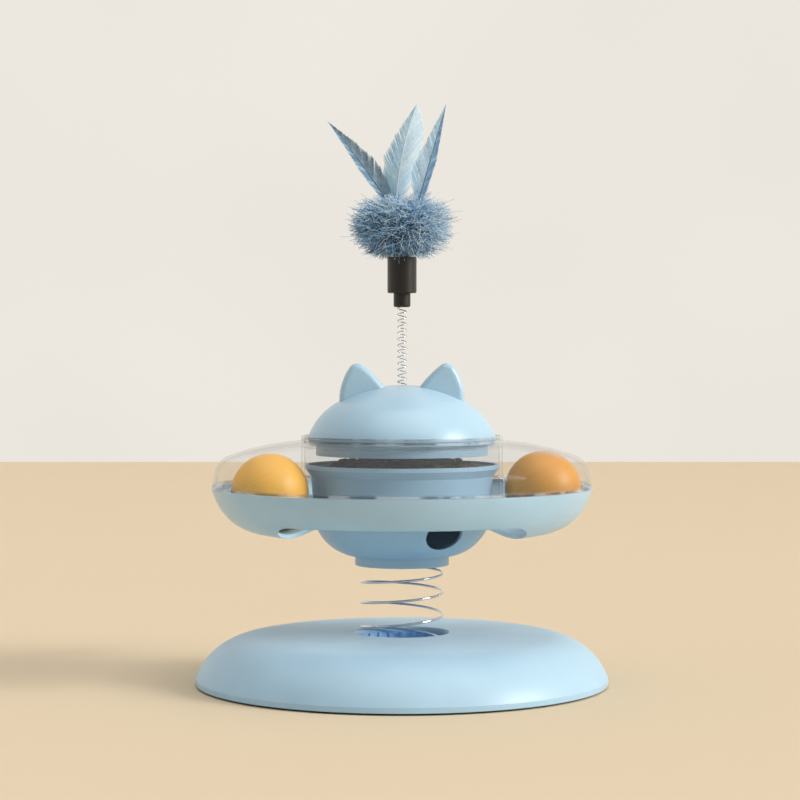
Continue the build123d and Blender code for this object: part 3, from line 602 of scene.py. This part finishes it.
def feather_vane(name, control, length, cup, side, outline, rng):
    # One vane: barbs in locks, each with its own lean, trim and tone. The outline is followed at
    # the tip of the barb, which slants forward, so where it ends is found by a few tries.
    width, swell, taper, finishes = outline
    points, faces, tones = [], [], []
    count = int(length / BARB_SPACING)
    lock, lean, trim, tone = 0, 0.0, 1.0, 1
    for i in range(count):
        if lock == 0:
            lock = rng.randint(*LOCK_BARBS)
            lean = rng.gauss(0, LOCK_LEAN)
            trim = rng.uniform(*LOCK_TRIM)
            tone = rng.choice(LOCK_TONES)
        lock -= 1
        s = (i + 0.5) / count
        base = bezier(control, s)
        above, below = min(s + WAY_SHARE, 1), max(s - WAY_SHARE, 0)
        ahead = (bezier(control, above) - bezier(control, below)).normalized()
        out = Vector((-ahead.z, 0, ahead.x)) * side
        slant = math.radians(BARB_SLANT - SLANT_LOSS * s) + lean
        edge = s
        for _ in range(OUTLINE_TRIES):
            reach = width * max(vane_width(min(edge, 1), swell, taper), LEAST_SHARE)
            edge = (edge + s + reach / (math.tan(slant) * length)) / 2
        reach *= trim * rng.uniform(*BARB_TRIM)
        barb = min(reach / math.sin(slant), (1 - s) * length * 1.02 + 0.6)
        way = ahead * math.cos(slant) + out * math.sin(slant)
        curl = Vector((0, cup, 0)) * barb
        ripple = Vector((0, BARB_RIPPLE * math.sin(i * RIPPLE_TURN), 0))
        start = len(points)
        for k in range(BARB_STEPS + 1):
            t = k / BARB_STEPS
            bend = (ahead * barb * BARB_SWEEP + curl) * t * t
            place = base + way * barb * t + bend + ripple * t
            half = BARB_HALF_WIDTH * (1 - BARB_TAPER * t * t)
            points.append((place - ahead * half) * MM)
            points.append((place + ahead * half) * MM)
        for k in range(BARB_STEPS):
            a = start + 2 * k
            faces.append((a, a + 1, a + 3, a + 2))
            tones.append(tone)
    label = "left" if side > 0 else "right"
    feather_piece(f"{name}_{label}_vane", points, faces, finishes, tones)


def feather_down(name, control, chord, across, rng, finish):
    # Loose fluff round the foot of the vanes.
    points, faces = [], []
    for _ in range(DOWN_COUNT):
        s = rng.uniform(*DOWN_STARTS)
        base = bezier(control, max(s, 0)) + chord * min(s, 0)
        out = across * rng.choice((-1, 1)) * rng.uniform(*DOWN_OUT)
        rise = chord.normalized() * DOWN_RISE
        stray = Vector((0, rng.gauss(0, DOWN_STRAY), rng.gauss(0, DOWN_STRAY)))
        line = [(base + out * t + rise * t * t + stray * t) * MM for t in (0, 0.35, 0.7, 1)]
        add_tube(points, faces, line, [DOWN_RADIUS * MM] * len(line), DOWN_SIDES, False)
    feather_piece(f"{name}_down", points, faces, finish)


def feather(name, foot, neck, bow, tip, depth, cup, sides, seed, quill):
    # foot, neck and tip are (across, height) in mm; bow moves the middle of the quill to the left,
    # and cup is how far the edges of the vanes curl back for their length.
    # Each side is the width, where it is widest, how blunt it ends, and its finishes.
    rng = random.Random(seed)
    foot, neck, tip = [Vector((p[0], depth, p[1])) for p in (foot, neck, tip)]
    chord = tip - neck
    across = Vector((-chord.z, 0, chord.x)).normalized()
    control = (
        neck, neck + chord / 3 + across * bow, neck + chord * 2 / 3 + across * bow, tip
    )
    feather_quill(name, foot, control, quill)
    for side, outline in zip((1, -1), sides):
        feather_vane(name, control, chord.length, cup, side, outline, rng)
    right_finishes = sides[1][3]
    feather_down(name, control, chord, across, rng, right_finishes[1])


def vane_tones(name, dark, mid, light):
    # Three tones of one vane, which its locks of barbs take by turns.
    spread_tones = (("shade", dark, mid), ("body", mid, mid), ("sheen", mid, light))
    return [
        fibre(f"{name}_{tone}", shade(low, 0.88), shade(high, 1.05), 700, 0.5)
        for tone, low, high in spread_tones
    ]


quill_pale = fibre("pale_quill", (0.50, 0.66, 0.76), (0.72, 0.84, 0.90), 300, 0.35, 0.1)
quill_grey = fibre("grey_quill", (0.12, 0.18, 0.23), (0.24, 0.33, 0.40), 300, 0.4, 0.1)
slate_vane = vane_tones("slate_barbs", (0.12, 0.21, 0.31), (0.27, 0.40, 0.50), (0.44, 0.58, 0.68))
dusk_vane = vane_tones("dusk_barbs", (0.12, 0.26, 0.42), (0.26, 0.44, 0.62), (0.62, 0.80, 0.94))
sky_vane = vane_tones("sky_barbs", (0.34, 0.58, 0.90), (0.60, 0.84, 1.0), (0.82, 0.96, 1.0))
pale_vane = vane_tones("pale_barbs", (0.60, 0.80, 1.0), (0.70, 0.87, 1.0), (0.84, 0.96, 1.0))
mist_vane = vane_tones("mist_barbs", (0.32, 0.48, 0.62), (0.48, 0.66, 0.80), (0.64, 0.80, 0.92))
blue_vane = vane_tones("blue_barbs", (0.12, 0.27, 0.48), (0.26, 0.48, 0.74), (0.46, 0.72, 0.94))
feather(
    "feather_left", foot=(-2.6, 206), neck=(-6.0, 240.0), bow=-1.2, tip=(-37.0, 280.8),
    depth=0.0, cup=-0.11, sides=((3.2, 0.40, 1.2, dusk_vane), (6.4, 0.42, 1.1, slate_vane)),
    seed=21, quill=quill_grey,
)
feather(
    "feather_middle", foot=(0.0, 206), neck=(-3.2, 240.0), bow=2.6, tip=(7.4, 289.9),
    depth=3.3, cup=0.22, sides=((8.4, 0.46, 1.05, sky_vane), (9.4, 0.46, 3.2, pale_vane)),
    seed=22, quill=quill_pale,
)
feather(
    "feather_right", foot=(0.8, 206), neck=(8.2, 240.0), bow=0.0, tip=(21.9, 289.2),
    depth=-1.6, cup=-0.11, sides=((7.6, 0.34, 1.05, mist_vane), (3.0, 0.45, 1.1, blue_vane)),
    seed=23, quill=quill_grey,
)


# Dry treats heaped in the bowl, seen through the gap under the lid

# Each treat is a lumpy pill. Its rows are the share of its radius and the height in mm.
TREAT_COUNT, TREAT_SIDES, TREAT_RADII, TREAT_TILT = 330, 12, (2.9, 3.9), 0.5
TREAT_ROWS = ((0.0, -1.3), (0.72, -1.1), (1.0, -0.25), (0.96, 0.45), (0.7, 1.15), (0.0, 1.35))
LUMP_SHARE, LUMP_SCALE, LUMP_STEP = 0.09, 1.8, 3.7
# The heap in mm: radius, height at its edge, height and power of its crown, and scatter
HEAP_RADIUS, HEAP_EDGE, HEAP_CROWN, CROWN_POWER, HEAP_SCATTER = 39, 106.0, 5.0, 4, (-1.6, 1.2)


def treats():
    rng = random.Random(31)
    points, faces = [], []
    for i in range(TREAT_COUNT):
        ring = math.sqrt(rng.uniform(0.0, 1)) * HEAP_RADIUS
        turn = rng.uniform(0, 2 * math.pi)
        crown = HEAP_CROWN * (1 - (ring / HEAP_RADIUS) ** CROWN_POWER)
        height = HEAP_EDGE + crown + rng.uniform(*HEAP_SCATTER)
        middle = Vector((ring * math.cos(turn), ring * math.sin(turn), height))
        size = rng.uniform(*TREAT_RADII)
        roll, pitch = [
            Matrix.Rotation(rng.uniform(-TREAT_TILT, TREAT_TILT), 3, axis) for axis in "XY"
        ]
        tilt = roll @ pitch
        start = len(points)
        for radius, level in TREAT_ROWS:
            for k in range(TREAT_SIDES):
                angle = 2 * math.pi * k / TREAT_SIDES
                spin = Vector((math.cos(angle), math.sin(angle), i * LUMP_STEP)) * LUMP_SCALE
                lump = 1 + LUMP_SHARE * noise.noise(spin)
                reach = radius * size * lump
                spot = Vector((reach * math.cos(angle), reach * math.sin(angle), level))
                points.append((middle + tilt @ spot) * MM)
        for row in range(len(TREAT_ROWS) - 1):
            for k in range(TREAT_SIDES):
                a = start + row * TREAT_SIDES + k
                b = start + row * TREAT_SIDES + (k + 1) % TREAT_SIDES
                faces.append((a, b, b + TREAT_SIDES, a + TREAT_SIDES))
    finish = fibre("treat_crumb", (0.030, 0.013, 0.012), (0.15, 0.052, 0.036), 350, 0.8, 0.0)
    heap = mesh_object("treat_heap", points, faces, finish)
    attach(heap, "saucer")


treats()


# Floor and backdrop, lamps and camera

STAGE_REACH, BACKDROP_Y, BACKDROP_HEIGHT = 9, 2.25, 6
CAMERA_PLACE, CAMERA_DIP, CAMERA_LENS = (-0.001, -1.135, 0.167), 1.262, 102.15


def stage_material(name, colour, shown, variation, glow):
    # The object is lit by colour; camera, gloss and clear plastic see shown, lit or at strength 1.
    mat, tree, shader = material(name)
    rays = tree.nodes.new("ShaderNodeLightPath")
    seen = rays.outputs["Is Camera Ray"]
    for kind in ("Is Glossy Ray", "Is Transmission Ray"):
        seen = combine(tree, "MAXIMUM", seen, rays.outputs[kind])
    cloud = noise_node(tree, scale=1.6, detail=2)
    tone = ramp(tree, cloud, [(0.3, shade(shown, 1 - variation)), (0.7, shown)])
    tree.links.new(mixed(tree, seen, colour, tone), shader.inputs["Base Color"])
    shader.inputs["Roughness"].default_value = 0.85
    if glow:
        lamp = tree.nodes.new("ShaderNodeEmission")
        blend = tree.nodes.new("ShaderNodeMixShader")
        tree.links.new(tone, lamp.inputs["Color"])
        tree.links.new(seen, blend.inputs[0])
        tree.links.new(shader.outputs["BSDF"], blend.inputs[1])
        tree.links.new(lamp.outputs["Emission"], blend.inputs[2])
        tree.links.new(blend.outputs["Shader"], tree.nodes["Material Output"].inputs["Surface"])
    return mat


def stage_sheet(name, near, far, finish):
    # A plain sheet between the depth and height of its near edge and those of its far edge.
    reach = STAGE_REACH
    corners = [(-reach, *near), (reach, *near), (reach, *far), (-reach, *far)]
    return mesh_object(name, corners, [(0, 1, 2, 3)], finish, smooth=False)


floor = stage_sheet(
    "floor", (-STAGE_REACH, 0), (BACKDROP_Y, 0),
    stage_material("pale_floor", (0.65, 0.61, 0.52), (0.66, 0.53, 0.365), 0.02, glow=False),
)
backdrop = stage_sheet(
    "backdrop", (BACKDROP_Y, 0), (BACKDROP_Y, BACKDROP_HEIGHT),
    stage_material("pale_backdrop", (0.86, 0.83, 0.78), (0.86, 0.82, 0.75), 0.05, glow=True),
)

# The room is bright above and behind the toy and darker in front of it; the camera sees it pale
world = bpy.data.worlds.new("studio")
bpy.context.scene.world = world
world.use_nodes = True
room = world.node_tree
coords = room.nodes.new("ShaderNodeTexCoord")
parts = room.nodes.new("ShaderNodeSeparateXYZ")
room.links.new(coords.outputs["Generated"], parts.inputs["Vector"])
gradient = ramp(
    room, spread(room, parts.outputs["Y"], 0.0, 1.0, start=-1.0, end=0.6),
    [(0.0, (0.11, 0.13, 0.15)), (0.28, (0.46, 0.49, 0.52)), (1.0, (0.92, 0.92, 0.92))],
)
rays = room.nodes.new("ShaderNodeLightPath")
seen = combine(
    room, "MAXIMUM", rays.outputs["Is Camera Ray"], rays.outputs["Is Transmission Ray"]
)
sky = mixed(room, seen, gradient, (0.84, 0.80, 0.73))
room.links.new(sky, room.nodes["Background"].inputs["Color"])
room.nodes["Background"].inputs["Strength"].default_value = 1.0


def sun(name, place, angle, strength, colour):
    # A soft lamp far away, which shines from place towards the toy.
    lamp = bpy.data.lights.new(name, "SUN")
    lamp.angle = math.radians(angle)
    lamp.energy = strength
    lamp.color = colour
    obj = bpy.data.objects.new(name, lamp)
    bpy.context.scene.collection.objects.link(obj)
    obj.location = place
    obj.rotation_euler = Vector(place).to_track_quat("Z", "Y").to_euler()


sun("key", (1.7, -0.55, 0.85), angle=22, strength=2.45, colour=(1.0, 0.97, 0.92))
sun("top", (0.2, -0.3, 1.5), angle=60, strength=1.0, colour=(1.0, 0.99, 0.97))

camera = bpy.data.cameras.new("camera")
camera.lens = CAMERA_LENS
camera.sensor_width = 36
camera.clip_start, camera.clip_end = 0.01, 50
eye = bpy.data.objects.new("camera", camera)
bpy.context.scene.collection.objects.link(eye)
eye.location = CAMERA_PLACE
eye.rotation_euler = (math.radians(90 - CAMERA_DIP), 0, 0)
bpy.context.scene.camera = eye
bpy.context.scene.view_settings.view_transform = "Standard"
